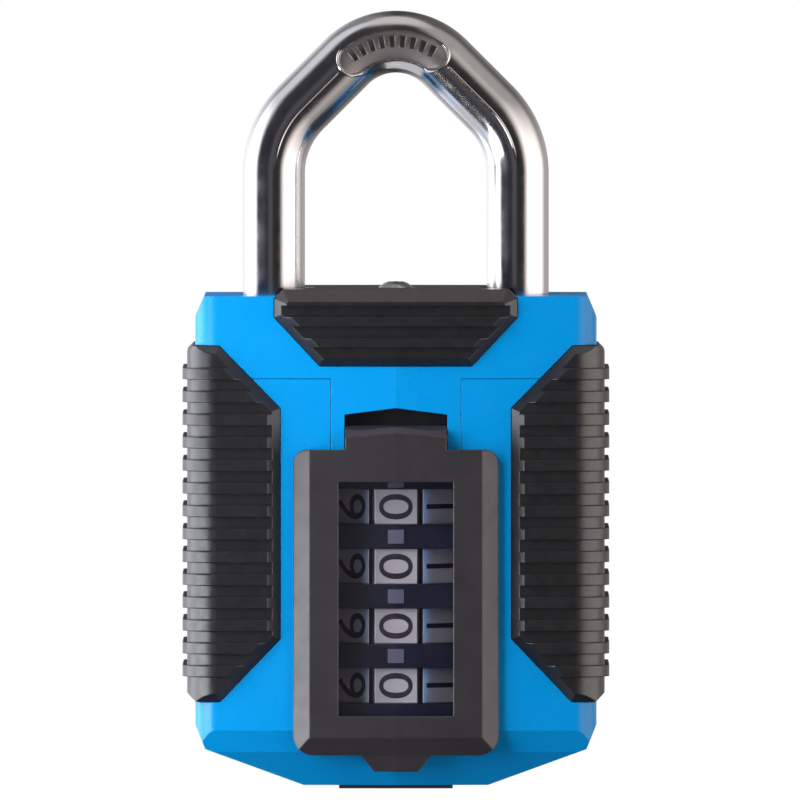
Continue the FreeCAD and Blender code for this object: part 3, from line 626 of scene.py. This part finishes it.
def add_color_stops(ramp, stops):
    """Sets a ramp's (position, colour) stops."""
    ramp.elements[0].position, ramp.elements[1].position = stops[0][0], stops[-1][0]
    ramp.elements[0].color, ramp.elements[1].color = (*stops[0][1], 1.0), (*stops[-1][1], 1.0)
    for position, color in stops[1:-1]:
        ramp.elements.new(position).color = (*color, 1.0)


def panels_by_azimuth(tree, direction):
    """Bright cool panel on the left, broad warm one on the right, dark in front and dim behind."""
    azimuth = math_node(tree, "ARCTAN2", direction["X"], math_node(tree, "MULTIPLY", direction["Y"], -1.0))
    ramp = tree.nodes.new("ShaderNodeValToRGB")
    tree.links.new(remap(tree, azimuth, -math.pi, math.pi), ramp.inputs["Fac"])
    behind, dim_cool, dim_warm = (0.02, 0.02, 0.022), (0.26, 0.26, 0.28), (0.11, 0.10, 0.10)
    navy, streak, brown = (0.006, 0.006, 0.010), (0.026, 0.025, 0.027), (0.006, 0.006, 0.006)
    cool, warm = (0.84, 0.86, 0.93), (0.44, 0.41, 0.39)
    degrees_and_colors = [
        (-180, behind), (-158, dim_cool), (-130, dim_cool),
        (-116, cool), (-85, cool),
        (-63, navy), (-25, navy), (-13, streak), (0, brown), (22, brown),
        (42, warm), (92, warm),
        (118, dim_warm), (158, dim_warm), (180, behind),
    ]
    add_color_stops(ramp.color_ramp, [(0.5 + degrees / 360, color) for degrees, color in degrees_and_colors])
    return ramp.outputs["Color"]


def studio_light(tree):
    """Side panels brightest at the lock's height, a small light above, dark below."""
    place = tree.nodes.new("ShaderNodeTexCoord")
    parts = tree.nodes.new("ShaderNodeSeparateXYZ")
    tree.links.new(place.outputs["Generated"], parts.inputs["Vector"])
    height = parts.outputs["Z"]
    fade = remap(tree, math_node(tree, "ABSOLUTE", height), *PANEL_SLOPES, 0.0, PANEL_FADE)
    sides = mix_colors(tree, fade, panels_by_azimuth(tree, parts.outputs), UNLIT)
    above = mix_colors(tree, remap(tree, height, *OVERHEAD_SLOPES), sides, OVERHEAD)
    return mix_colors(tree, remap(tree, height, *BELOW_SLOPES), above, BELOW)


def studio_world():
    """Procedural studio for the light and the reflections; the camera itself sees white."""
    world = bpy.data.worlds.new("studio")
    world.use_nodes = True
    bpy.context.scene.world = world
    tree = world.node_tree
    lit = tree.nodes["Background"]
    lit.inputs["Strength"].default_value = WORLD_STRENGTH
    tree.links.new(studio_light(tree), lit.inputs["Color"])
    seen = tree.nodes.new("ShaderNodeBackground")
    seen.inputs["Color"].default_value = (1.0, 1.0, 1.0, 1.0)
    seen_by_camera(tree, lit.outputs["Background"], seen.outputs["Background"], "World Output")


def soft_panel(name, place, facing, size, power, mirrored=True):
    """Rectangular soft light that faces a direction, and that glossy surfaces may mirror."""
    data = bpy.data.lights.new(name, "AREA")
    data.shape = "RECTANGLE"
    data.size, data.size_y = size
    data.energy = power
    data.color = LIGHT_COLOR
    panel = bpy.data.objects.new(name, data)
    bpy.context.scene.collection.objects.link(panel)
    panel.location = place
    panel.rotation_euler = facing.to_track_quat("-Z", "Y").to_euler()
    panel.visible_camera = False
    panel.visible_glossy = mirrored


def studio_camera():
    """Long lens in front of the lock, a little above its middle."""
    data = bpy.data.cameras.new("camera")
    data.sensor_width = CAMERA_SENSOR
    data.lens = data.sensor_width * CAMERA_DISTANCE / FRAME_WIDTH
    data.clip_start, data.clip_end = CAMERA_CLIP
    camera = bpy.data.objects.new("camera", data)
    bpy.context.scene.collection.objects.link(camera)
    back = Vector((0.0, -math.cos(CAMERA_PITCH), math.sin(CAMERA_PITCH)))
    camera.location = AIM + back * CAMERA_DISTANCE
    camera.rotation_euler = (math.pi / 2 - CAMERA_PITCH, 0.0, 0.0)
    bpy.context.scene.camera = camera


studio_floor()
studio_world()
soft_panel("key", KEY_PLACE, AIM - KEY_PLACE, KEY_SIZE, KEY_POWER, mirrored=False)
soft_panel("side_strip", STRIP_PLACE, STRIP_FACING, STRIP_SIZE, STRIP_POWER)
soft_panel("loop_fill", FILL_PLACE, FILL_FACING, FILL_SIZE, FILL_POWER)
studio_camera()
bpy.context.scene.view_settings.view_transform = "Standard"
